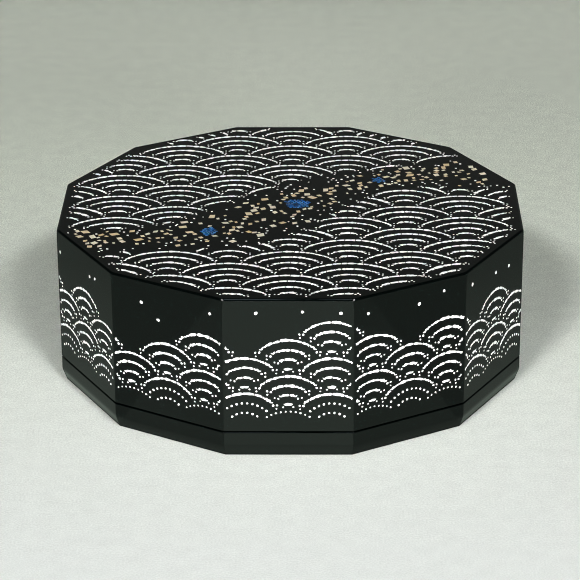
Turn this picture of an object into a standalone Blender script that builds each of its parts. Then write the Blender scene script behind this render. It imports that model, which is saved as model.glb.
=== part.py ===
"""Twelve-sided lacquer box: a shallow body with upright inner walls, and a deep lid that comes down flush over them.

Units are metres, +Z is up, and the origin is at the middle of the underside.
"""

import math

import bmesh
import bpy

# The whole box
SIDES = 12
ACROSS_FLATS = 0.2400
HEIGHT = 0.0858

# Body, from the underside up
BAND_HEIGHT = 0.0140
TAPER_HEIGHT = 0.0067
TAPER_INSET = 0.0024
FLOOR_THICKNESS = 0.0060
BODY_WALL = 0.0042

# Lid
LID_WALL = 0.0048
LID_TOP = 0.0058

# How the lid sits on the body
SEAM_GAP = 0.0003
SIDE_CLEARANCE = 0.0005
RIM_HEADROOM = 0.0050

# Rounded edges, seen in a section through the middle of a side
TOP_EDGE_RADIUS = 0.0008
SEAM_EDGE_RADIUS = 0.0002
TAPER_BLEND_RADIUS = 0.0040
FOOT_EDGE_RADIUS = 0.0010
RIM_EDGE_RADIUS = 0.0012
LEDGE_COVE_RADIUS = 0.0004
INSIDE_COVE_RADIUS = 0.0030

# Rounded corners, seen from above
OUTER_CORNER_RADIUS = 0.0006
INNER_CORNER_RADIUS = 0.0030

# Facets in each rounding
EDGE_STEPS = 3
CORNER_STEPS = 2

# Finishes: colour, roughness and metallic value
BLACK_LACQUER = ((0.008, 0.009, 0.009, 1.0), 0.08, 0.0)
INNER_LACQUER = ((0.010, 0.010, 0.010, 1.0), 0.18, 0.0)

# Sizes that follow from the ones above
OUTER = ACROSS_FLATS / 2
LID_INSIDE = OUTER - LID_WALL
BODY_OUTSIDE = LID_INSIDE - SIDE_CLEARANCE
BODY_INSIDE = BODY_OUTSIDE - BODY_WALL
LID_BOTTOM = BAND_HEIGHT + SEAM_GAP
LID_CEILING = HEIGHT - LID_TOP
BODY_RIM = LID_CEILING - RIM_HEADROOM
HALF_SIDE_ANGLE = math.pi / SIDES


def clear_scene():
    for old in list(bpy.data.objects):
        bpy.data.objects.remove(old, do_unlink=True)


def lacquer(name, finish):
    """A plain Principled material."""
    colour, roughness, metallic = finish
    material = bpy.data.materials.new(name)
    material.use_nodes = True
    shader = material.node_tree.nodes["Principled BSDF"]
    shader.inputs["Base Color"].default_value = colour
    shader.inputs["Roughness"].default_value = roughness
    shader.inputs["Metallic"].default_value = metallic
    return material


def rounded_corner(before, corner, after, radius):
    """Points of the arc that rounds one corner of a section, each an (across, up) pair."""
    to_before = (before[0] - corner[0], before[1] - corner[1])
    to_after = (after[0] - corner[0], after[1] - corner[1])
    length_before = math.hypot(*to_before)
    length_after = math.hypot(*to_after)
    unit_before = (to_before[0] / length_before, to_before[1] / length_before)
    unit_after = (to_after[0] / length_after, to_after[1] / length_after)
    half_angle = math.acos(unit_before[0] * unit_after[0] + unit_before[1] * unit_after[1]) / 2
    setback = min(radius / math.tan(half_angle), 0.45 * length_before, 0.45 * length_after)
    fitted_radius = setback * math.tan(half_angle)
    middle = (unit_before[0] + unit_after[0], unit_before[1] + unit_after[1])
    reach = fitted_radius / math.sin(half_angle) / math.hypot(*middle)
    centre = (corner[0] + middle[0] * reach, corner[1] + middle[1] * reach)
    start = math.atan2(corner[1] + unit_before[1] * setback - centre[1],
                       corner[0] + unit_before[0] * setback - centre[0])
    end = math.atan2(corner[1] + unit_after[1] * setback - centre[1],
                     corner[0] + unit_after[0] * setback - centre[0])
    turn = (end - start + math.pi) % (2 * math.pi) - math.pi
    points = []
    for step in range(EDGE_STEPS + 1):
        angle = start + turn * step / EDGE_STEPS
        points.append((centre[0] + fitted_radius * math.cos(angle),
                       centre[1] + fitted_radius * math.sin(angle)))
    return points


def section_points(corners):
    """The section of a wall, rounded: corners are (across, up, edge radius, corner radius), axis to axis.

    Returns (across, up, corner radius) for each level of the loft.
    """
    first = (0.0, corners[0][1])
    last = (0.0, corners[-1][1])
    outline = [first] + [(across, up) for across, up, _, _ in corners] + [last]
    levels = []
    for index, (across, up, edge_radius, corner_radius) in enumerate(corners):
        arc = rounded_corner(outline[index], (across, up), outline[index + 2], edge_radius)
        levels.extend((point[0], point[1], corner_radius) for point in arc)
    return levels


def polygon_ring(mesh, across, up, corner_radius):
    """One level: a twelve-sided outline with rounded corners, whose sides are 'across' from the axis."""
    ring = []
    for side in range(SIDES):
        corner_angle = (2 * side + 1) * HALF_SIDE_ANGLE
        centre_distance = (across - corner_radius) / math.cos(HALF_SIDE_ANGLE)
        centre_x = centre_distance * math.cos(corner_angle)
        centre_y = centre_distance * math.sin(corner_angle)
        for step in range(CORNER_STEPS + 1):
            angle = corner_angle + HALF_SIDE_ANGLE * (2 * step / CORNER_STEPS - 1)
            ring.append(mesh.verts.new((centre_x + corner_radius * math.cos(angle),
                                        centre_y + corner_radius * math.sin(angle), up)))
    return ring


def loft(mesh, levels):
    """Joins the levels with quads and closes both ends flat."""
    rings = [polygon_ring(mesh, *level) for level in levels]
    for lower, upper in zip(rings, rings[1:]):
        for index in range(len(lower)):
            following = (index + 1) % len(lower)
            mesh.faces.new((lower[index], lower[following], upper[following], upper[index]))
    mesh.faces.new(list(reversed(rings[0])))
    mesh.faces.new(rings[-1])


def turned_piece(name, corners, material):
    """A closed piece lofted from the corners of its section."""
    mesh = bmesh.new()
    loft(mesh, section_points(corners))
    bmesh.ops.recalc_face_normals(mesh, faces=mesh.faces)
    data = bpy.data.meshes.new(name)
    mesh.to_mesh(data)
    mesh.free()
    data.materials.append(material)
    data.shade_smooth()
    data.set_sharp_from_angle(angle=math.radians(25))
    piece = bpy.data.objects.new(name, data)
    bpy.context.scene.collection.objects.link(piece)
    return piece


def box_body():
    """Foot with a tapered lower edge, a ledge that carries the lid, and walls that rise inside the lid."""
    corners = [
        (OUTER - TAPER_INSET, 0.0, FOOT_EDGE_RADIUS, OUTER_CORNER_RADIUS),
        (OUTER, TAPER_HEIGHT, TAPER_BLEND_RADIUS, OUTER_CORNER_RADIUS),
        (OUTER, BAND_HEIGHT, SEAM_EDGE_RADIUS, OUTER_CORNER_RADIUS),
        (BODY_OUTSIDE, BAND_HEIGHT, LEDGE_COVE_RADIUS, INNER_CORNER_RADIUS),
        (BODY_OUTSIDE, BODY_RIM, RIM_EDGE_RADIUS, INNER_CORNER_RADIUS),
        (BODY_INSIDE, BODY_RIM, RIM_EDGE_RADIUS, INNER_CORNER_RADIUS),
        (BODY_INSIDE, FLOOR_THICKNESS, INSIDE_COVE_RADIUS, INNER_CORNER_RADIUS),
    ]
    return turned_piece("box_body", corners, lacquer("body_lacquer", INNER_LACQUER))


def lid():
    """Deep cap: its sides run down flush with the foot, and it lifts straight off."""
    corners = [
        (LID_INSIDE, LID_CEILING, INSIDE_COVE_RADIUS, INNER_CORNER_RADIUS),
        (LID_INSIDE, LID_BOTTOM, SEAM_EDGE_RADIUS, INNER_CORNER_RADIUS),
        (OUTER, LID_BOTTOM, SEAM_EDGE_RADIUS, OUTER_CORNER_RADIUS),
        (OUTER, HEIGHT, TOP_EDGE_RADIUS, OUTER_CORNER_RADIUS),
    ]
    return turned_piece("lid", corners, lacquer("lid_lacquer", BLACK_LACQUER))


clear_scene()
box_body()
lid()
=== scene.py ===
"""Looks of the twelve-sided lacquer box: polished black lacquer with shell and gold laid in it."""
import math
import random

import bmesh
import bpy
from mathutils import Matrix, Vector


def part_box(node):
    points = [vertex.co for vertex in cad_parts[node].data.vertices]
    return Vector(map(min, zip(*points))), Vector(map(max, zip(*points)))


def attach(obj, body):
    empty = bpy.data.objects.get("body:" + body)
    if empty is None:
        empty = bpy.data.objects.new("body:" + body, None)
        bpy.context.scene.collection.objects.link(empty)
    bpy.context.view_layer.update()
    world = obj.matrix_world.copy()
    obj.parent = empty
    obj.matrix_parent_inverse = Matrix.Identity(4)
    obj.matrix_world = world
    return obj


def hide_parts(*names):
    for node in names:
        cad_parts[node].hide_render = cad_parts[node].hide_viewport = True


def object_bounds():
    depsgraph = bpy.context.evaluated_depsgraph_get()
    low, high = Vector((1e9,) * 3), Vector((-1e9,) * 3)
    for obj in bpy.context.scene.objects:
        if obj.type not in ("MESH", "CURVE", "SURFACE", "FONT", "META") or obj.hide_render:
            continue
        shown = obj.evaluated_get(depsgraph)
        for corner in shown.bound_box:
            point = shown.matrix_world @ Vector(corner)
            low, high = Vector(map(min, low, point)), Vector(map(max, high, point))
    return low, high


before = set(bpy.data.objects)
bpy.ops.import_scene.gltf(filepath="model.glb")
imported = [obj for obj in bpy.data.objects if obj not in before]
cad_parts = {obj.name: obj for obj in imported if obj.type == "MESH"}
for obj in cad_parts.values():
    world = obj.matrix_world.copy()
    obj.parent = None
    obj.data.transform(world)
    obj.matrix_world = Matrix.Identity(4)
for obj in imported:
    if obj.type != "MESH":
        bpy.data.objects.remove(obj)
CAD_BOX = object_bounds()

# The box, in metres, from the solids
SIDES = 12
LOW, HIGH = (Vector(corner) for corner in CAD_BOX)
OUTER = (HIGH.x - LOW.x) / 2
TOP = HIGH.z
SEAM_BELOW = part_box("lid")[0].z
LID_WALL = 0.0048
LID_TOP = 0.0058
SIDE_CLEARANCE = 0.0005
BODY_WALL = 0.0042
FLOOR_THICKNESS = 0.0060
BODY_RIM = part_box("box_body")[1].z
SEAM_GAP = 0.0006
BAND_HEIGHT = SEAM_BELOW - SEAM_GAP
TAPER_HEIGHT = 0.0067
TAPER_INSET = 0.0024
HALF_SIDE_ANGLE = math.pi / SIDES
HALF_SIDE = OUTER * math.tan(HALF_SIDE_ANGLE)
SQUARE = ((-1, -1), (1, -1), (1, 1), (-1, 1))

# Rounded edges and corners
TOP_EDGE_RADIUS = 0.0012
SEAM_EDGE_RADIUS = 0.0005
BAND_EDGE_RADIUS = 0.0004
TAPER_BLEND_RADIUS = 0.0075
FOOT_EDGE_RADIUS = 0.0010
RIM_EDGE_RADIUS = 0.0012
LEDGE_COVE_RADIUS = 0.0004
INSIDE_COVE_RADIUS = 0.0030
OUTER_CORNER_RADIUS = 0.0010
SEAM_CORNER_RADIUS = 0.0025
TOP_CORNER_RADIUS = 0.0045
TOP_CORNER_BLEND = 0.0055
INNER_CORNER_RADIUS = 0.0030
EDGE_STEPS = 6
CORNER_STEPS = 4
FLAT_FACE_WEIGHT = 50

# How far the inlay stands above the lacquer, which is lowered by as much,
# so that the inlay's face is level with the solids
INLAY_PROUD = 0.00004
INLAY_DEPTH = 0.00012

# The wave pattern: rows of overlapping scallops, each a few concentric arcs of cut shell
SIDE_SCALLOP = HALF_SIDE * 2 / 3
SIDE_ARCS = (0.96, 0.72, 0.48, 0.24)
SIDE_STROKE = 0.00124
SIDE_ROW_STEP = SIDE_SCALLOP * 0.45
SIDE_LOWEST_DOT = 0.0208
SIDE_LOWEST_CROWN = 0.0262
SIDE_CREST_HEIGHT = 0.0700
SIDE_CREST_SWELL = 0.0085
SIDE_HIGHEST_SPRAY = 0.0790
SIDE_MARGIN = 0.0003
SPRAY_DOTS_PER_SIDE = 3
SPRAY_CLEARANCE = 0.0025
SPRAY_RADII = (0.00075, 0.00105)
SPRAY_PLACES = (0.1, 0.9)
SPRAY_SPAN = 0.97
SIDE_COLUMNS = range(-2, 3)
CREST_WAVES = ((0.62, 3, 0.9), (0.38, 7, 2.1))
FOOT_DOT_SIZES = (0.75, 0.95)
LID_SCALLOP = 0.0300
LID_ROW_STEP = LID_SCALLOP / 2
LID_ARCS = (0.96, 0.73, 0.50, 0.27)
LID_STROKE = 0.00175
LID_MARGIN = 0.0028

# The bare mist that crosses the lid, with gold flecks and blue shell in it
MIST_TURN = math.radians(24)
MIST_SWAY = 0.0150
MIST_WAVELENGTH = 0.230
MIST_HALF_WIDTH = 0.0215
MIST_HALF_WIDTH_CHANGE = 0.0065
MIST_WIDTH_WAVES = 1.5
MIST_WIDTH_PHASE = 0.6
FLECKS = 190
FLECK_SMALLEST = 0.0016
FLECK_LARGEST = 0.0036
FLECK_SPREAD = 0.42
FLECK_WHOLE_SHARE = 0.6
FLECK_REDUCED = 0.7
FLECK_REACH = 0.62
FLECK_TURN = 0.35
FLECK_LEAN = 0.35
FLECK_BREADTH = (0.8, 1.25)
FLECK_UNEVEN = (0.9, 1.08)
MIST_DOTS = 130
MIST_DOT_RADII = (0.00048, 0.00068)
MIST_DOT_EDGE = 0.0012
MIST_DOT_GAP = 0.0006
MIST_DOT_OUTWARDS = (0.1, 0.9)
BLUE_PATCHES = ((-0.052, 0.0050), (0.004, 0.0072), (0.058, 0.0042))
BLUE_CHIP = 0.0019
BLUE_CHIP_SIDES = 6
BLUE_ROW_STEP = 0.87
BLUE_PATCH_UNEVEN = (0.75, 1.05)
BLUE_CHIP_UNEVEN = (0.82, 1.08)

# Cutting: the strokes' pieces, the gaps between them, and the dots that they end in
PIECE_SHORTEST = 0.0022
PIECE_LONGEST = 0.0060
PIECE_GAP = 0.00030
SECTION_STEP = 0.00100
STROKE_RAGGED = 0.30
STROKE_END = 0.50
PIECE_UNEVEN = 0.18
PIECE_SHIFT = 0.00014
STROKE_ZIGZAG = 0.00034
DOT_ZONE = 0.0042
ZIGZAG_ZONE = 0.0120
SHORTEST_RUN = 0.0050
DOT_STEP = 0.00125
DOT_OFFSET = 0.00070
DOT_RADIUS = 0.00064
DOT_SIDES = 8
DOT_STRETCH = (0.88, 1.12)
DOT_UNEVEN = (0.93, 1.07)
DOT_SMALLEST_SHARE = 0.62
DOT_SIZES = (0.92, 1.08)
DOT_STEP_UNEVEN = (0.92, 1.12)
LINE_DOT_SIZES = (0.9, 1.1)
PIECE_END_SHARES = (0.55, 0.9)
RUN_STEP = 0.0003
# A short stroke's zones take up at most one part in so many of it
DOT_ZONE_PARTS = 5
ZIGZAG_ZONE_PARTS = 4
DOT_MARGIN = DOT_STEP / 3
PIECE_LEAST_ROOM = PIECE_GAP * 4
ARC_SWEEP = math.pi * 1.3
ARC_FOOT_ANGLE = math.radians(27)
TAU = math.tau

# Materials: ramps of (place, colour), texture scales, roughness ranges, and bump depths in metres
WHITE = (1.0, 1.0, 1.0)
UNSTRETCHED = (1.0, 1.0, 1.0)
LACQUER_IOR = 1.40
LACQUER_TINTS = ((0.3, (0.0003, 0.0008, 0.0008)), (0.7, (0.0005, 0.0011, 0.0009)))
LACQUER_CLOUDS = 22.0
LACQUER_HAZE = 160.0
LACQUER_HAZE_STRETCH = (1.0, 1.0, 0.25)
LACQUER_ROUGHNESS = (0.03, 0.09)
LACQUER_WAVES = 45.0
LACQUER_WAVE_DEPTH = 0.00001
SHELL_TINTS = ((0.0, (0.96, 0.93, 0.88)), (0.3, (0.90, 0.94, 0.92)),
               (0.6, (0.97, 0.91, 0.91)), (1.0, (0.93, 0.95, 0.89)))
SHELL_BANDS = 420.0
SHELL_BAND_STRETCH = (1.0, 0.35, 0.6)
SHELL_BAND_TINTS = ((0.3, (0.90, 0.94, 0.97)), (0.5, WHITE), (0.7, (1.0, 0.95, 0.93)))
SHELL_ROUGHNESS = (0.22, 0.40)
SHELL_DEPTH = 0.00002
FOIL_TINTS = ((0.0, (0.62, 0.45, 0.24)), (0.35, (0.66, 0.54, 0.36)),
              (0.7, (0.70, 0.66, 0.52)), (1.0, (0.74, 0.62, 0.50)))
FOIL_CRINKLES = 900.0
FOIL_CRINKLE_TINTS = ((0.3, (0.82, 0.82, 0.80)), (0.7, WHITE))
FOIL_METALLIC = 0.25
FOIL_ROUGHNESS = (0.35, 0.55)
FOIL_DEPTH = 0.00003
BLUE_TINTS = ((0.0, (0.006, 0.030, 0.085)), (0.4, (0.010, 0.085, 0.26)),
              (0.75, (0.022, 0.15, 0.42)), (1.0, (0.012, 0.13, 0.20)))
BLUE_BANDS = 600.0
BLUE_BAND_STRETCH = (1.0, 0.4, 1.0)
BLUE_BAND_TINTS = ((0.3, (0.7, 0.8, 0.9)), (0.7, WHITE))
BLUE_ROUGHNESS = (0.18, 0.35)
BLUE_DEPTH = 0.00002


def section_arc(before, corner, after, radius):
    """Points of the arc that rounds a section's corner, or the corner alone if the radius is 0."""
    if not radius:
        return [corner]
    towards_before = (before - corner).normalized()
    towards_after = (after - corner).normalized()
    half_angle = towards_before.angle(towards_after) / 2
    setback = radius / math.tan(half_angle)
    centre = corner + (towards_before + towards_after).normalized() * (radius / math.sin(half_angle))
    start = corner + towards_before * setback - centre
    end = corner + towards_after * setback - centre
    first = math.atan2(start.y, start.x)
    turn = (math.atan2(end.y, end.x) - first + math.pi) % TAU - math.pi
    steps = [first + turn * step / EDGE_STEPS for step in range(EDGE_STEPS + 1)]
    return [centre + Vector((math.cos(angle), math.sin(angle))) * radius for angle in steps]


def ring_points(across, up, corner_radius):
    """A twelve-sided outline with rounded corners."""
    points = []
    for side in range(SIDES):
        corner_angle = (2 * side + 1) * HALF_SIDE_ANGLE
        reach = (across - corner_radius) / math.cos(HALF_SIDE_ANGLE)
        for step in range(CORNER_STEPS + 1):
            angle = corner_angle + HALF_SIDE_ANGLE * (2 * step / CORNER_STEPS - 1)
            points.append(Vector((reach * math.cos(corner_angle) + corner_radius * math.cos(angle),
                                  reach * math.sin(corner_angle) + corner_radius * math.sin(angle), up)))
    return points


def object_of(name, data, material):
    """Makes an object of mesh data and puts it in the scene."""
    data.materials.append(material)
    made = bpy.data.objects.new(name, data)
    bpy.context.scene.collection.objects.link(made)
    return made


def object_of_bmesh(name, mesh, material):
    """Makes an object of a finished bmesh and frees the bmesh."""
    data = bpy.data.meshes.new(name)
    mesh.to_mesh(data)
    mesh.free()
    return object_of(name, data, material)


def lofted(name, corners, material):
    """A closed piece from its section's corners: (across, up, edge radius, corner radius)."""
    outline = [Vector((0.0, corners[0][1]))]
    outline += [Vector((across, up)) for across, up, _, _ in corners]
    outline += [Vector((0.0, corners[-1][1]))]
    mesh = bmesh.new()
    rings = []
    for index, (across, up, edge_radius, corner_radius) in enumerate(corners):
        for point in section_arc(outline[index], outline[index + 1], outline[index + 2], edge_radius):
            rings.append([mesh.verts.new(p) for p in ring_points(point.x, point.y, corner_radius)])
    for lower, upper in zip(rings, rings[1:]):
        for index in range(len(lower)):
            following = (index + 1) % len(lower)
            mesh.faces.new((lower[index], lower[following], upper[following], upper[index]))
    mesh.faces.new(list(reversed(rings[0])))
    mesh.faces.new(rings[-1])
    bmesh.ops.recalc_face_normals(mesh, faces=mesh.faces)
    piece = object_of_bmesh(name, mesh, material)
    piece.data.shade_smooth()
    weighted = piece.modifiers.new("flat_faces_stay_flat", "WEIGHTED_NORMAL")
    weighted.mode = "FACE_AREA"
    weighted.weight = FLAT_FACE_WEIGHT
    weighted.keep_sharp = True
    return piece


def new_material(name):
    material = bpy.data.materials.new(name)
    material.use_nodes = True
    nodes, links = material.node_tree.nodes, material.node_tree.links
    return material, nodes, links, nodes["Principled BSDF"]


def object_noise(nodes, links, scale, detail=3.0, stretch=UNSTRETCHED):
    """A noise texture in the piece's own coordinates."""
    place = nodes.new("ShaderNodeTexCoord")
    mapping = nodes.new("ShaderNodeMapping")
    mapping.inputs["Scale"].default_value = stretch
    noise = nodes.new("ShaderNodeTexNoise")
    noise.inputs["Scale"].default_value = scale
    noise.inputs["Detail"].default_value = detail
    links.new(place.outputs["Object"], mapping.inputs["Vector"])
    links.new(mapping.outputs["Vector"], noise.inputs["Vector"])
    return noise.outputs["Fac"]


def spread(nodes, links, value, low, high, start=0.3, end=0.7):
    """Maps a texture's middle values onto the range from low to high."""
    node = nodes.new("ShaderNodeMapRange")
    node.inputs["From Min"].default_value = start
    node.inputs["From Max"].default_value = end
    node.inputs["To Min"].default_value = low
    node.inputs["To Max"].default_value = high
    links.new(value, node.inputs["Value"])
    return node.outputs["Result"]


def ramp(nodes, links, value, stops):
    """A colour ramp from (place, colour) stops."""
    node = nodes.new("ShaderNodeValToRGB")
    elements = node.color_ramp.elements
    while len(elements) < len(stops):
        elements.new(1.0)
    for element, (place, colour) in zip(elements, stops):
        element.position = place
        element.color = (*colour, 1)
    links.new(value, node.inputs["Fac"])
    return node.outputs["Color"]


def bump(nodes, links, shader, height, distance):
    node = nodes.new("ShaderNodeBump")
    node.inputs["Distance"].default_value = distance
    links.new(height, node.inputs["Height"])
    links.new(node.outputs["Normal"], shader.inputs["Normal"])


def multiplied(nodes, links, first, second):
    blend = nodes.new("ShaderNodeMix")
    blend.data_type = "RGBA"
    blend.blend_type = "MULTIPLY"
    blend.inputs["Factor"].default_value = 1.0
    links.new(first, blend.inputs["A"])
    links.new(second, blend.inputs["B"])
    return blend.outputs["Result"]


def lacquer(name):
    """Black lacquer polished to a mirror, with a trace of green in it and a faint haze."""
    material, nodes, links, shader = new_material(name)
    shader.inputs["IOR"].default_value = LACQUER_IOR
    cloud = object_noise(nodes, links, LACQUER_CLOUDS)
    links.new(ramp(nodes, links, cloud, LACQUER_TINTS), shader.inputs["Base Color"])
    haze = object_noise(nodes, links, LACQUER_HAZE, detail=5.0, stretch=LACQUER_HAZE_STRETCH)
    links.new(spread(nodes, links, haze, *LACQUER_ROUGHNESS), shader.inputs["Roughness"])
    waviness = object_noise(nodes, links, LACQUER_WAVES, detail=1.0)
    bump(nodes, links, shader, waviness, LACQUER_WAVE_DEPTH)
    return material


def chip_material(name, tints, texture_tints, scale, stretch, roughness, depth, detail=2.0):
    """A material with a tint of its own for each chip, and a fine texture in it."""
    material, nodes, links, shader = new_material(name)
    island = nodes.new("ShaderNodeNewGeometry").outputs["Random Per Island"]
    tint = ramp(nodes, links, island, tints)
    texture = object_noise(nodes, links, scale, detail, stretch)
    shade = ramp(nodes, links, texture, texture_tints)
    links.new(multiplied(nodes, links, tint, shade), shader.inputs["Base Color"])
    links.new(spread(nodes, links, texture, *roughness), shader.inputs["Roughness"])
    bump(nodes, links, shader, texture, depth)
    return material, shader


def shell(name):
    """White shell: each piece has its own faint tint, with fine nacre bands across it."""
    return chip_material(name, SHELL_TINTS, SHELL_BAND_TINTS, SHELL_BANDS,
                         SHELL_BAND_STRETCH, SHELL_ROUGHNESS, SHELL_DEPTH)[0]


def foil(name):
    """Pale cut gold foil, from tan to silvery cream, slightly crinkled."""
    material, shader = chip_material(name, FOIL_TINTS, FOIL_CRINKLE_TINTS, FOIL_CRINKLES,
                                     UNSTRETCHED, FOIL_ROUGHNESS, FOIL_DEPTH, detail=3.0)
    shader.inputs["Metallic"].default_value = FOIL_METALLIC
    return material


def blue_shell(name):
    """Blue shell, from deep to bright blue with a hint of green, banded like nacre."""
    return chip_material(name, BLUE_TINTS, BLUE_BAND_TINTS, BLUE_BANDS,
                         BLUE_BAND_STRETCH, BLUE_ROUGHNESS, BLUE_DEPTH)[0]


class Chips:
    """Collects thin closed chips, each let into a flat face, and makes one piece of them."""

    def __init__(self):
        self.points = []
        self.faces = []

    def prism(self, outline, plane):
        """A chip from a convex outline, listed counterclockwise as seen from outside."""
        first = len(self.points)
        count = len(outline)
        self.points += [plane(u, v, -INLAY_DEPTH) for u, v in outline]
        self.points += [plane(u, v, 0.0) for u, v in outline]
        self.faces.append([first + index for index in reversed(range(count))])
        self.faces.append([first + count + index for index in range(count)])
        for index in range(count):
            following = (index + 1) % count
            self.faces.append([first + index, first + following,
                               first + count + following, first + count + index])

    def ribbon(self, rights, lefts, plane):
        """A stroke's piece between two edges, right and left of the way it runs."""
        first = len(self.points)
        count = len(rights)
        for right, left in zip(rights, lefts):
            self.points += [plane(*right, -INLAY_DEPTH), plane(*left, -INLAY_DEPTH)]
            self.points += [plane(*left, 0.0), plane(*right, 0.0)]
        for index in range(count - 1):
            near, far = first + 4 * index, first + 4 * index + 4
            for side in range(4):
                following = (side + 1) % 4
                self.faces.append([near + side, near + following, far + following, far + side])
        self.faces.append([first, first + 3, first + 2, first + 1])
        last = first + 4 * (count - 1)
        self.faces.append([last, last + 1, last + 2, last + 3])

    def piece(self, name, material, slot):
        data = bpy.data.meshes.new(name)
        data.from_pydata(self.points, [], self.faces)
        data.update()
        made = object_of(name, data, material)
        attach(made, "root")


def lid_plane(u, v, height):
    return (u, v, TOP + height)


def side_plane(side):
    """The plane of one side: u runs along it to the right as seen from outside, and v is the height."""
    angle = -math.pi / 2 + 2 * HALF_SIDE_ANGLE * side
    cosine, sine = math.cos(angle), math.sin(angle)

    def place(u, v, height):
        across = OUTER + height
        return (across * cosine - u * sine, across * sine + u * cosine, v)

    return place


def turned(u, v, x, y, turn):
    """The point at x and y from (u, v), turned about it."""
    return (u + x * math.cos(turn) - y * math.sin(turn),
            v + x * math.sin(turn) + y * math.cos(turn))


def dot(chips, chance, u, v, radius, plane):
    """A small round chip, slightly stretched and uneven."""
    turn = chance.uniform(0, TAU)
    stretch = chance.uniform(*DOT_STRETCH)
    outline = []
    for index in range(DOT_SIDES):
        angle = TAU * index / DOT_SIDES
        reach = radius * chance.uniform(*DOT_UNEVEN)
        x, y = reach * math.cos(angle) * stretch, reach * math.sin(angle) / stretch
        outline.append(turned(u, v, x, y, turn))
    chips.prism(outline, plane)


class Arc:
    """One arc of a scallop, measured along its length from its right foot to its left."""

    def __init__(self, centre, radius):
        self.centre = centre
        self.radius = radius
        self.length = ARC_SWEEP * radius

    def at(self, along, outwards=0.0):
        angle = along / self.radius - ARC_FOOT_ANGLE
        reach = self.radius + outwards
        return (self.centre[0] + reach * math.cos(angle), self.centre[1] + reach * math.sin(angle))


def runs_of(arc, shows):
    """The stretches of an arc that show, each (start, end)."""
    found = []
    steps = int(arc.length / RUN_STEP)
    start = None
    for step in range(steps + 1):
        along = arc.length * step / steps
        if shows(*arc.at(along)) and step < steps:
            start = along if start is None else start
        elif start is not None:
            if along - start > SHORTEST_RUN:
                found.append((start, along))
            start = None
    return found


def dotted_line(dots, chance, arc, start, end, radius, plane, fits):
    """Dots in single file along an arc."""
    count = max(1, round((end - start) / (2 * DOT_STEP)))
    for index in range(count):
        u, v = arc.at(start + (end - start) * (index + 0.5) / count)
        size = radius * chance.uniform(*LINE_DOT_SIZES)
        if fits(u, v, size):
            dot(dots, chance, u, v, size, plane)


def stroke(strokes, dots, chance, arc, start, end, width, plane, fits):
    """Shell along an arc: cut pieces that swell in the middle, and staggered dots towards both ends."""
    length = end - start
    zone = min(DOT_ZONE, length / DOT_ZONE_PARTS)
    for foot, way in ((start, 1), (end, -1)):
        reach = zone - DOT_STEP / 2
        index = 0
        while reach > DOT_MARGIN:
            outwards = DOT_OFFSET * (1 if index % 2 else -1)
            u, v = arc.at(foot + way * reach, outwards)
            share = DOT_SMALLEST_SHARE + (1 - DOT_SMALLEST_SHARE) * min(1.0, reach / DOT_ZONE)
            radius = DOT_RADIUS * share * chance.uniform(*DOT_SIZES)
            if fits(u, v, radius):
                dot(dots, chance, u, v, radius, plane)
            reach -= DOT_STEP * chance.uniform(*DOT_STEP_UNEVEN)
            index += 1
    along = start + zone + DOT_MARGIN
    last = end - zone - DOT_MARGIN
    zigzag_zone = min(ZIGZAG_ZONE, length / ZIGZAG_ZONE_PARTS)
    sign = 1
    while last - along > PIECE_LEAST_ROOM:
        reach = chance.uniform(PIECE_SHORTEST, PIECE_LONGEST)
        if last - along - reach < PIECE_SHORTEST:
            reach = last - along
        count = max(2, round(reach / SECTION_STEP))
        piece_width = width * (1 + PIECE_UNEVEN * chance.uniform(-1, 1))
        piece_shift = PIECE_SHIFT * chance.uniform(-1, 1)
        rights, lefts = [], []
        for index in range(count + 1):
            place = along + reach * index / count
            inwards = min(place - start, end - place) - zone
            wild = max(0.0, 1.0 - inwards / zigzag_zone)
            swell = STROKE_END + (1 - STROKE_END) * math.sin(math.pi * (place - start) / length)
            half = piece_width / 2 * swell * (1 + STROKE_RAGGED * chance.uniform(-1, 1))
            if index in (0, count):
                half *= chance.uniform(*PIECE_END_SHARES)
            shift = sign * STROKE_ZIGZAG * wild + piece_shift
            sign = -sign
            right, left = arc.at(place, shift + half), arc.at(place, shift - half)
            if not (fits(*right, 0.0) and fits(*left, 0.0)):
                if len(rights) > 1:
                    strokes.ribbon(rights, lefts, plane)
                rights, lefts = [], []
                continue
            rights.append(right)
            lefts.append(left)
        if len(rights) > 1:
            strokes.ribbon(rights, lefts, plane)
        along += reach + PIECE_GAP


def scallop_shows(centre, radius, row_step):
    """A test of whether a point of a scallop is clear of the scallops in front of it."""
    in_front = [(centre[0] + side * radius, centre[1] - row_step) for side in (-1, 1)]
    in_front.append((centre[0], centre[1] - 2 * row_step))
    clear = (radius + DOT_OFFSET) ** 2

    def shows(u, v):
        return all((u - x) ** 2 + (v - y) ** 2 > clear for x, y in in_front)

    return shows


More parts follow.
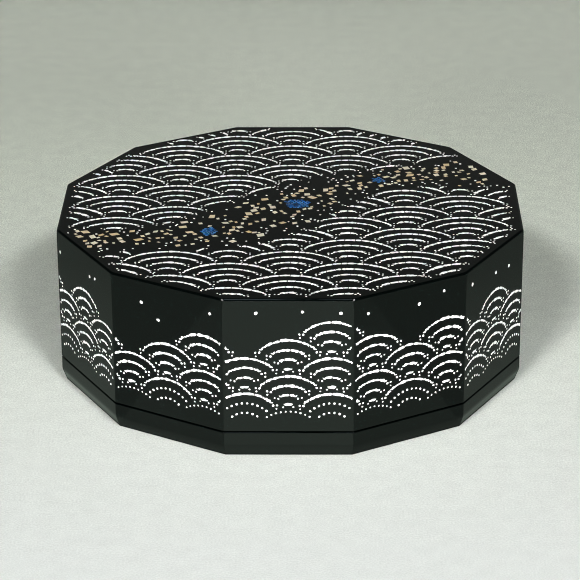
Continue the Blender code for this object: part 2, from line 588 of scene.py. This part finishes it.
def make_sides(material):
    """The band of waves round the sides, dotted along its foot, and single dots above it."""
    strokes, dots = Chips(), Chips()
    flat_half = HALF_SIDE - OUTER_CORNER_RADIUS * math.tan(HALF_SIDE_ANGLE) - SIDE_MARGIN
    lowest = SIDE_LOWEST_CROWN - SIDE_SCALLOP

    def crest(side, u):
        around = (side * 2 * HALF_SIDE + u) / (SIDES * 2 * HALF_SIDE) * TAU
        swell = sum(share * math.sin(waves * around + phase) for share, waves, phase in CREST_WAVES)
        return SIDE_CREST_HEIGHT + SIDE_CREST_SWELL * swell

    for side in range(SIDES):
        plane = side_plane(side)

        def fits(u, v, radius):
            return abs(u) + radius < flat_half and v - radius > SIDE_LOWEST_DOT

        row = 0
        while lowest + row * SIDE_ROW_STEP + SIDE_SCALLOP < SIDE_CREST_HEIGHT + 2 * SIDE_CREST_SWELL:
            up = lowest + row * SIDE_ROW_STEP
            for column in SIDE_COLUMNS:
                across = (column + ((row + side) % 2) / 2) * 2 * SIDE_SCALLOP
                if abs(across) > flat_half + SIDE_SCALLOP or up + SIDE_SCALLOP > crest(side, across):
                    continue
                shows = scallop_shows((across, up), SIDE_SCALLOP, SIDE_ROW_STEP)
                for number, share in enumerate(SIDE_ARCS):
                    chance = random.Random(f"side {side} {row} {column} {number}")
                    arc = Arc((across, up), SIDE_SCALLOP * share)
                    for start, end in runs_of(arc, shows):
                        if row == 0 or row == 1 and number > 0:
                            radius = DOT_RADIUS * FOOT_DOT_SIZES[row]
                            dotted_line(dots, chance, arc, start, end, radius, plane, fits)
                        else:
                            stroke(strokes, dots, chance, arc, start, end, SIDE_STROKE, plane, fits)
            row += 1

    chance = random.Random("spray")
    for side in range(SIDES):
        for number in range(SPRAY_DOTS_PER_SIDE):
            place = (number + chance.uniform(*SPRAY_PLACES)) / SPRAY_DOTS_PER_SIDE
            u = (place * 2 - 1) * flat_half * SPRAY_SPAN
            v = chance.uniform(crest(side, u) + SPRAY_CLEARANCE, SIDE_HIGHEST_SPRAY)
            dot(dots, chance, u, v, chance.uniform(*SPRAY_RADII), side_plane(side))
    strokes.piece("side_waves", material, "white_shell")
    dots.piece("side_dots", material, "white_shell")


def mist_place(u, v):
    """Where a point of the lid lies in the mist: along it, and across it from its middle line."""
    along = u * math.cos(MIST_TURN) + v * math.sin(MIST_TURN)
    across = v * math.cos(MIST_TURN) - u * math.sin(MIST_TURN)
    return along, across - MIST_SWAY * math.sin(TAU * along / MIST_WAVELENGTH)


def mist_half_width(along):
    turn = TAU * along / MIST_WAVELENGTH * MIST_WIDTH_WAVES + MIST_WIDTH_PHASE
    return MIST_HALF_WIDTH + MIST_HALF_WIDTH_CHANGE * math.cos(turn)


def mist_point(along, across):
    """The point of the lid at a place in the mist."""
    across += MIST_SWAY * math.sin(TAU * along / MIST_WAVELENGTH)
    return (along * math.cos(MIST_TURN) - across * math.sin(MIST_TURN),
            along * math.sin(MIST_TURN) + across * math.cos(MIST_TURN))


def inside_lid(u, v, margin):
    """True if a point of the lid's top is inside its edge by the margin."""
    for side in range(SIDES):
        angle = 2 * HALF_SIDE_ANGLE * side
        if u * math.cos(angle) + v * math.sin(angle) > OUTER - margin:
            return False
    return True


def make_lid_waves(material):
    """The waves on the lid, which leave the mist bare."""
    strokes, dots = Chips(), Chips()

    def fits(u, v, radius):
        return inside_lid(u, v, LID_MARGIN + radius)

    def bare(u, v):
        along, across = mist_place(u, v)
        return abs(across) < mist_half_width(along)

    rows = int(2 * OUTER / LID_ROW_STEP) + 2
    columns = int(OUTER / LID_SCALLOP) + 1
    for row in range(-rows // 2 - 2, rows // 2 + 1):
        for column in range(-columns, columns + 1):
            centre = ((column + (row % 2) / 2) * 2 * LID_SCALLOP, row * LID_ROW_STEP)
            if math.hypot(*centre) > OUTER + 2 * LID_SCALLOP:
                continue
            clear = scallop_shows(centre, LID_SCALLOP, LID_ROW_STEP)

            def shows(u, v):
                return clear(u, v) and inside_lid(u, v, LID_MARGIN + DOT_RADIUS) and not bare(u, v)

            for number, share in enumerate(LID_ARCS):
                chance = random.Random(f"lid {row} {column} {number}")
                arc = Arc(centre, LID_SCALLOP * share)
                for start, end in runs_of(arc, shows):
                    stroke(strokes, dots, chance, arc, start, end, LID_STROKE, lid_plane, fits)
    strokes.piece("lid_waves", material, "white_shell")
    dots.piece("lid_dots", material, "white_shell")


def make_blue_patches(chips, chance):
    """Patches of small six-sided chips along the middle of the mist, returned as (u, v, radius)."""
    patches = []
    for along, radius in BLUE_PATCHES:
        centre = mist_point(along, 0.0)
        patches.append((*centre, radius))
        steps = int(radius / BLUE_CHIP) + 1
        for row in range(-steps, steps + 1):
            for column in range(-steps, steps + 1):
                u = (column + (row % 2) / 2) * BLUE_CHIP
                v = row * BLUE_CHIP * BLUE_ROW_STEP
                if math.hypot(u, v) > radius * chance.uniform(*BLUE_PATCH_UNEVEN):
                    continue
                outline = []
                for index in range(BLUE_CHIP_SIDES):
                    angle = TAU * (index + 0.5) / BLUE_CHIP_SIDES
                    reach = BLUE_CHIP / 2 * chance.uniform(*BLUE_CHIP_UNEVEN)
                    outline.append((centre[0] + u + reach * math.cos(angle),
                                    centre[1] + v + reach * math.sin(angle)))
                chips.prism(outline, lid_plane)
    return patches


def make_flecks(flecks, chance, taken):
    """Four-sided flecks that lie closest together along the middle of the mist."""
    made = 0
    while made < FLECKS:
        along = chance.uniform(-OUTER, OUTER)
        across = chance.gauss(0, FLECK_SPREAD) * mist_half_width(along)
        size = chance.uniform(FLECK_SMALLEST, FLECK_LARGEST)
        size *= 1.0 if chance.random() < FLECK_WHOLE_SHARE else FLECK_REDUCED
        u, v = mist_point(along, across)
        if abs(across) > mist_half_width(along) - size or not inside_lid(u, v, LID_MARGIN + size):
            continue
        if any(math.hypot(u - x, v - y) < size * FLECK_REACH + reach for x, y, reach in taken):
            continue
        taken.append((u, v, size * FLECK_REACH))
        made += 1
        turn = MIST_TURN + chance.uniform(-FLECK_TURN, FLECK_TURN)
        lean = chance.uniform(-FLECK_LEAN, FLECK_LEAN)
        broad = chance.uniform(*FLECK_BREADTH)
        outline = []
        for x, y in SQUARE:
            x = (x + lean * y) * size / 2 * broad * chance.uniform(*FLECK_UNEVEN)
            y = y * size / 2 / broad * chance.uniform(*FLECK_UNEVEN)
            outline.append(turned(u, v, x, y, turn))
        flecks.prism(outline, lid_plane)


def make_mist_dots(dots, chance, taken):
    """White dots, sparser along the middle of the mist and clear of the flecks."""
    made = 0
    while made < MIST_DOTS:
        along = chance.uniform(-OUTER, OUTER)
        across = chance.uniform(-1, 1) * (mist_half_width(along) - MIST_DOT_EDGE)
        if abs(across) < mist_half_width(along) * chance.uniform(*MIST_DOT_OUTWARDS):
            continue
        u, v = mist_point(along, across)
        radius = chance.uniform(*MIST_DOT_RADII)
        if not inside_lid(u, v, LID_MARGIN + radius):
            continue
        if any(math.hypot(u - x, v - y) < radius + reach + MIST_DOT_GAP for x, y, reach in taken):
            continue
        taken.append((u, v, radius))
        made += 1
        dot(dots, chance, u, v, radius, lid_plane)


def make_mist(gold, blue, white):
    """Gold flecks, blue patches and white dots in the bare mist."""
    flecks, chips, dots = Chips(), Chips(), Chips()
    chance = random.Random("mist")
    taken = make_blue_patches(chips, chance)
    make_flecks(flecks, chance, taken)
    make_mist_dots(dots, chance, taken)
    flecks.piece("gold_flecks", gold, "gold_foil")
    chips.piece("blue_chips", blue, "blue_shell")
    dots.piece("mist_dots", white, "white_shell")


def make_lid(material):
    """The lid: a deep cap, open below."""
    inside = OUTER - LID_WALL
    ceiling = TOP - LID_TOP
    outer = OUTER - INLAY_PROUD
    corners = [
        (inside, ceiling, INSIDE_COVE_RADIUS, INNER_CORNER_RADIUS),
        (inside, SEAM_BELOW, SEAM_EDGE_RADIUS, INNER_CORNER_RADIUS),
        (outer, SEAM_BELOW, SEAM_EDGE_RADIUS, OUTER_CORNER_RADIUS),
        (outer, TOP - TOP_CORNER_BLEND, 0.0, OUTER_CORNER_RADIUS),
        (outer, TOP - INLAY_PROUD, TOP_EDGE_RADIUS, TOP_CORNER_RADIUS),
    ]
    piece = lofted("lid_lacquer", corners, material)
    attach(piece, "root")
    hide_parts("lid")


def make_body(material):
    """The body: a tapered foot, a band, the ledge that carries the lid, and the walls inside it."""
    outer = OUTER - INLAY_PROUD
    outside = OUTER - LID_WALL - SIDE_CLEARANCE
    inside = outside - BODY_WALL
    corners = [
        (outer - TAPER_INSET, LOW.z, FOOT_EDGE_RADIUS, OUTER_CORNER_RADIUS),
        (outer, TAPER_HEIGHT, TAPER_BLEND_RADIUS, OUTER_CORNER_RADIUS),
        (outer, BAND_HEIGHT, BAND_EDGE_RADIUS, SEAM_CORNER_RADIUS),
        (outside, BAND_HEIGHT, LEDGE_COVE_RADIUS, INNER_CORNER_RADIUS),
        (outside, BODY_RIM, RIM_EDGE_RADIUS, INNER_CORNER_RADIUS),
        (inside, BODY_RIM, RIM_EDGE_RADIUS, INNER_CORNER_RADIUS),
        (inside, FLOOR_THICKNESS, INSIDE_COVE_RADIUS, INNER_CORNER_RADIUS),
    ]
    piece = lofted("body_lacquer", corners, material)
    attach(piece, "root")
    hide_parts("box_body")


# The camera, fitted to the photograph's outlines
CAMERA_PLACE = Vector((0.01580, -1.26635, 0.59809))
CAMERA_FORWARD = Vector((-0.01178, 0.91437, -0.40471))
CAMERA_RIGHT = Vector((0.99993, 0.01084, -0.00461))
CAMERA_LENS_MM = 161.66
CAMERA_SENSOR_MM = 36.0
CAMERA_CLIP_START = 0.05
PIXEL_FILTER_WIDTH = 1.0


def add_camera():
    data = bpy.data.cameras.new("camera")
    data.sensor_width = CAMERA_SENSOR_MM
    data.lens = CAMERA_LENS_MM
    data.clip_start = CAMERA_CLIP_START
    camera = bpy.data.objects.new("camera", data)
    backward = -CAMERA_FORWARD.normalized()
    upward = backward.cross(CAMERA_RIGHT).normalized()
    rightward = upward.cross(backward)
    turn = Matrix((rightward, upward, backward)).transposed()
    camera.matrix_world = Matrix.Translation(CAMERA_PLACE) @ turn.to_4x4()
    bpy.context.scene.collection.objects.link(camera)
    bpy.context.scene.camera = camera


def softbox(name, place, target, width, height, watts):
    data = bpy.data.lights.new(name, "AREA")
    data.shape = "RECTANGLE"
    data.size = width
    data.size_y = height
    data.energy = watts
    light = bpy.data.objects.new(name, data)
    aim = (Vector(target) - Vector(place)).to_track_quat("-Z", "Y")
    light.matrix_world = Matrix.Translation(place) @ aim.to_matrix().to_4x4()
    bpy.context.scene.collection.objects.link(light)
    return light


# The studio: two pairs of lamps on either side of the camera, a soft card behind it, and paper below
LAMPS = (
    # name, azimuth from the front, elevation, distance, width, height, aim across, aim ahead, beam, watts
    ("key", 21.9, 40.3, 2.894, 0.643, 0.301, 0.900, 0.384, 73.4, 11.3),
    ("low_key", 21.9, 13.3, 3.901, 1.093, 0.200, 0.468, -0.400, 48.2, 8.3),
)
LAMP_AIM_HEIGHT = 0.03
FRONT_CARD_PLACE = Vector((-0.05, -3.527, 0.814))
FRONT_CARD_WIDTH = 0.45
FRONT_CARD_HEIGHT = 0.43
FRONT_CARD_WATTS = 9.0
FRONT_CARD_COLOUR = (0.72, 0.90, 1.0)
# Two narrow overhead lamps that only show as a thin line along the lid's front edge, brighter at its ends
EDGE_LAMP_AZIMUTHS = (-5.7, 5.3)
EDGE_LAMP_ELEVATION = 65.0
EDGE_LAMP_DISTANCE = 3.0
EDGE_LAMP_WIDTH = 0.15
EDGE_LAMP_HEIGHT = 0.50
EDGE_LAMP_WATTS = 1.6
# Two more that only show as glints on the corners beside the front
CORNER_LAMP_AZIMUTH = 40.0
CORNER_LAMP_ELEVATION = 57.0
CORNER_LAMP_SIZE = 0.50
CORNER_LAMP_WATTS = (60.0, 105.0)

FLOOR_HALF_WIDTH = 4.0
PAPER_SHEEN_ROUGHNESS = 0.42
PAPER_SPECULAR = 0.2
# The paper's colour at the front and at the back. The back's is paler and yellower: painted light
PAPER_FRONT = (-0.25, (0.613, 0.634, 0.609))
PAPER_BACK = (0.25, (0.648, 0.688, 0.590))
PAPER_GRAIN = 1100.0
PAPER_GRAIN_DEPTHS = (0.08, 0.34)
PAPER_MOTTLE = 110.0
PAPER_MOTTLE_DEPTHS = (0.03, 0.06)

WALL_FOOT = 0.30
WALL_TOP = 0.50
WALL_EDGE = 0.70
WALL_MIDDLE = 0.85
ROOM_COLOUR = (0.02, 0.021, 0.02, 1)
WALL_COLOUR = (0.142, 0.152, 0.138, 1)
BACKDROP_COLOUR = (0.36, 0.375, 0.345, 1)

# Where the floor fades into the backdrop, beyond what the photograph's view shows
DISTANCE_START = 0.80
DISTANCE_FULL = 2.40
DISTANCE_END = 8.00
DISTANCE_HEIGHT = 0.0005
DISTANCE_RINGS = 8
DISTANCE_SEGMENTS = 64

# How bright the card round the foot is at each distance out from the sides' plane, in its
# front part, the parts beside it, the third ones and the rest. The card glows and is a painted
# reflection: the lacquer shows it in place of the floor. In the camera's own view the front
# side reflects only its own part. The others reflect mostly their own low down, and mostly the next
# one round higher up
FLAG_HEIGHT = 0.0002
FLAG_REACH = 3.0
# The dark strip next to the foot is painted contact shadow in the reflection
FLAG_FOOT = 0.0002 - TAPER_INSET
FLAG_DARK = FLAG_FOOT + 0.0003
FLAG_LIGHT = FLAG_FOOT + 0.0008
FLAG_FRONT = ((FLAG_FOOT, 0.05), (FLAG_DARK, 0.10), (FLAG_LIGHT, 0.62),
              (0.0045, 0.62), (0.0090, 0.90), (0.2600, 0.90))
FLAG_NEXT = ((FLAG_FOOT, 0.05), (FLAG_DARK, 0.10), (FLAG_LIGHT, 0.46), (0.0000, 0.34),
             (0.0030, 0.33), (0.0120, 0.46), (0.0900, 0.47), (0.1500, 0.40), (FLAG_REACH, 0.40))
FLAG_THIRD = ((FLAG_FOOT, 0.05), (FLAG_DARK, 0.15), (FLAG_LIGHT, 0.34), (0.0015, 0.42),
              (0.0070, 0.36), (0.0140, 0.34), (0.1550, 0.33), (FLAG_REACH, 0.33))
FLAG_REST = ((FLAG_FOOT, 0.05), (FLAG_DARK, 0.15), (FLAG_LIGHT, 0.34), (0.0015, 0.42),
             (0.0070, 0.36), (0.0220, 0.31), (0.1320, 0.20), (FLAG_REACH, 0.20))
FLAG_COLOUR = (0.83, 1.0, 0.84, 1)
# The parts on the right are a little dimmer: painted shade in the reflection
FLAG_RIGHT_SHARE = 0.90


def add_floor():
    """Pale paper with a fine grain and a faint mottle. Towards the back it is painted a little paler and
    yellower: painted light, not a change in the paper.
    """
    material, nodes, links, shader = new_material("studio_paper")
    place = nodes.new("ShaderNodeTexCoord")
    parts = nodes.new("ShaderNodeSeparateXYZ")
    links.new(place.outputs["Object"], parts.inputs[0])
    depth = spread(nodes, links, parts.outputs["Y"], 0.0, 1.0, PAPER_FRONT[0], PAPER_BACK[0])
    tint = ramp(nodes, links, depth, ((0.0, PAPER_FRONT[1]), (1.0, PAPER_BACK[1])))
    for scale, (front, back) in ((PAPER_GRAIN, PAPER_GRAIN_DEPTHS), (PAPER_MOTTLE, PAPER_MOTTLE_DEPTHS)):
        noise = object_noise(nodes, links, scale, detail=4.0)
        shade = spread(nodes, links, noise, 1.0, 1.0)
        for limit, sign in (("To Min", -1), ("To Max", 1)):
            change = spread(nodes, links, depth, 1.0 + sign * front, 1.0 + sign * back, 0.0, 1.0)
            links.new(change, shade.node.inputs[limit])
        tint = multiplied(nodes, links, tint, shade)
    links.new(tint, shader.inputs["Base Color"])
    shader.inputs["Roughness"].default_value = PAPER_SHEEN_ROUGHNESS
    shader.inputs["Specular IOR Level"].default_value = PAPER_SPECULAR
    mesh = bmesh.new()
    mesh.faces.new([mesh.verts.new((x * FLOOR_HALF_WIDTH, y * FLOOR_HALF_WIDTH, 0.0)) for x, y in SQUARE])
    floor = object_of_bmesh("studio_floor", mesh, material)


def glowing_material(name, colour):
    """A material that glows and reflects nothing."""
    material, nodes, links, shader = new_material(name)
    shader.inputs["Base Color"].default_value = (0, 0, 0, 1)
    shader.inputs["Specular IOR Level"].default_value = 0.0
    shader.inputs["Emission Color"].default_value = colour
    return material, nodes, links, shader


def hide_from_light(card):
    """Leaves a card of the studio visible only to the camera and in reflections."""
    card.visible_diffuse = False
    card.visible_shadow = False
    card.visible_transmission = False
    card.visible_volume_scatter = False


def add_distance():
    """A ring that only the camera sees, which fades the floor into the backdrop's colour."""
    material, nodes, links, shader = glowing_material("studio_distance", BACKDROP_COLOUR)
    shader.inputs["Emission Strength"].default_value = 1.0
    cover = nodes.new("ShaderNodeAttribute")
    cover.attribute_name = "cover"
    links.new(cover.outputs["Fac"], shader.inputs["Alpha"])
    mesh = bmesh.new()
    layer = mesh.verts.layers.float.new("cover")
    rings = []
    for step in range(DISTANCE_RINGS + 2):
        share = min(1.0, step / DISTANCE_RINGS)
        reach = DISTANCE_START + (DISTANCE_FULL - DISTANCE_START) * share
        reach = DISTANCE_END if step > DISTANCE_RINGS else reach
        ring = []
        for segment in range(DISTANCE_SEGMENTS):
            angle = TAU * segment / DISTANCE_SEGMENTS
            vertex = mesh.verts.new((reach * math.cos(angle), reach * math.sin(angle), DISTANCE_HEIGHT))
            vertex[layer] = share * share * (3 - 2 * share)
            ring.append(vertex)
        rings.append(ring)
    for near, far in zip(rings, rings[1:]):
        for index in range(DISTANCE_SEGMENTS):
            following = (index + 1) % DISTANCE_SEGMENTS
            mesh.faces.new((near[index], far[index], far[following], near[following]))
    distance = object_of_bmesh("studio_distance", mesh, material)
    hide_from_light(distance)
    distance.visible_glossy = False


def studio_place(azimuth, elevation, distance):
    """A place in the studio, in degrees from the front, to the right, and upwards."""
    azimuth, elevation = math.radians(azimuth), math.radians(elevation)
    return Vector((math.sin(azimuth) * math.cos(elevation),
                   -math.cos(azimuth) * math.cos(elevation),
                   math.sin(elevation))) * distance


def add_lamps():
    for name, azimuth, elevation, distance, width, height, across, ahead, beam, watts in LAMPS:
        for side, side_name in ((-1, "left"), (1, "right")):
            place = studio_place(side * azimuth, elevation, distance)
            aim = Vector((-side * across, ahead, LAMP_AIM_HEIGHT))
            lamp = softbox(name + "_" + side_name, place, aim, width, height, watts)
            lamp.data.spread = math.radians(beam)
    aim = Vector((0.0, 0.0, LAMP_AIM_HEIGHT))
    card = softbox("front_card", FRONT_CARD_PLACE, aim,
                   FRONT_CARD_WIDTH, FRONT_CARD_HEIGHT, FRONT_CARD_WATTS)
    card.data.color = FRONT_CARD_COLOUR
    card.visible_glossy = False
    for azimuth, side_name in zip(EDGE_LAMP_AZIMUTHS, ("left", "right")):
        place = studio_place(azimuth, EDGE_LAMP_ELEVATION, EDGE_LAMP_DISTANCE)
        lamp = softbox("edge_" + side_name, place, aim, EDGE_LAMP_WIDTH, EDGE_LAMP_HEIGHT, EDGE_LAMP_WATTS)
        lamp.data.color = FRONT_CARD_COLOUR
        lamp.visible_diffuse = False
    for side, watts in zip((-1, 1), CORNER_LAMP_WATTS):
        place = studio_place(side * CORNER_LAMP_AZIMUTH, CORNER_LAMP_ELEVATION, EDGE_LAMP_DISTANCE)
        lamp = softbox("corner_lamp", place, aim, CORNER_LAMP_SIZE, CORNER_LAMP_SIZE, watts)
        lamp.visible_diffuse = False


def add_world():
    """A dim room with a back wall that is paler low down. The camera sees an even backdrop instead."""
    world = bpy.data.worlds.new("studio_world")
    world.use_nodes = True
    nodes, links = world.node_tree.nodes, world.node_tree.links
    place = nodes.new("ShaderNodeTexCoord")
    parts = nodes.new("ShaderNodeSeparateXYZ")
    links.new(place.outputs["Generated"], parts.inputs[0])
    low = spread(nodes, links, parts.outputs["Z"], 1.0, 0.0, WALL_FOOT, WALL_TOP)
    behind = spread(nodes, links, parts.outputs["Y"], 0.0, 1.0, WALL_EDGE, WALL_MIDDLE)
    both = nodes.new("ShaderNodeMath")
    both.operation = "MULTIPLY"
    links.new(low, both.inputs[0])
    links.new(behind, both.inputs[1])
    room = nodes.new("ShaderNodeMix")
    room.data_type = "RGBA"
    room.inputs["A"].default_value = ROOM_COLOUR
    room.inputs["B"].default_value = WALL_COLOUR
    links.new(both.outputs["Value"], room.inputs["Factor"])
    seen = nodes.new("ShaderNodeMix")
    seen.data_type = "RGBA"
    seen.inputs["B"].default_value = BACKDROP_COLOUR
    links.new(nodes.new("ShaderNodeLightPath").outputs["Is Camera Ray"], seen.inputs["Factor"])
    links.new(room.outputs["Result"], seen.inputs["A"])
    links.new(seen.outputs["Result"], nodes["Background"].inputs["Color"])
    bpy.context.scene.world = world


def flag_profile(side):
    """The card's brightness along its way out from one side, counted from the front side."""
    away = min(side, SIDES - side)
    profile = (FLAG_FRONT, FLAG_NEXT, FLAG_THIRD)[away] if away < 3 else FLAG_REST
    share = FLAG_RIGHT_SHARE if 0 < side < SIDES / 2 else 1.0
    return [(reach, value * share) for reach, value in profile]


def add_flag():
    """A glowing card round the foot that only reflections see, dim enough that the lacquer stays black: a
    painted reflection in place of the floor's, with painted contact shadow next to the foot.
    """
    material, nodes, links, shader = glowing_material("studio_painted_reflection", FLAG_COLOUR)
    brightness = nodes.new("ShaderNodeAttribute")
    brightness.attribute_name = "brightness"
    backfacing = nodes.new("ShaderNodeNewGeometry").outputs["Backfacing"]
    upper = spread(nodes, links, backfacing, 1.0, 0.0, 0.0, 1.0)
    strength = nodes.new("ShaderNodeMath")
    strength.operation = "MULTIPLY"
    links.new(brightness.outputs["Fac"], strength.inputs[0])
    links.new(upper, strength.inputs[1])
    links.new(strength.outputs["Value"], shader.inputs["Emission Strength"])
    mesh = bmesh.new()
    layer = mesh.verts.layers.float.new("brightness")
    for side in range(SIDES):
        rows = []
        for away, value in flag_profile(side):
            reach = (OUTER + away) / math.cos(HALF_SIDE_ANGLE)
            row = []
            for turn in (-1, 1):
                angle = -math.pi / 2 + HALF_SIDE_ANGLE * (2 * side + turn)
                vertex = mesh.verts.new((reach * math.cos(angle), reach * math.sin(angle), FLAG_HEIGHT))
                vertex[layer] = value
                row.append(vertex)
            rows.append(row)
        for near, far in zip(rows, rows[1:]):
            mesh.faces.new((near[0], far[0], far[1], near[1]))
    flag = object_of_bmesh("studio_painted_reflection", mesh, material)
    hide_from_light(flag)
    flag.visible_camera = False


bpy.context.scene.view_settings.view_transform = "Standard"
bpy.context.scene.cycles.filter_width = PIXEL_FILTER_WIDTH
add_camera()
add_floor()
add_distance()
add_flag()
add_lamps()
add_world()
make_lid(lacquer("lid_lacquer"))
make_body(lacquer("body_lacquer"))
white_shell = shell("white_shell")
make_sides(white_shell)
make_lid_waves(white_shell)
make_mist(foil("gold_foil"), blue_shell("blue_shell"), white_shell)
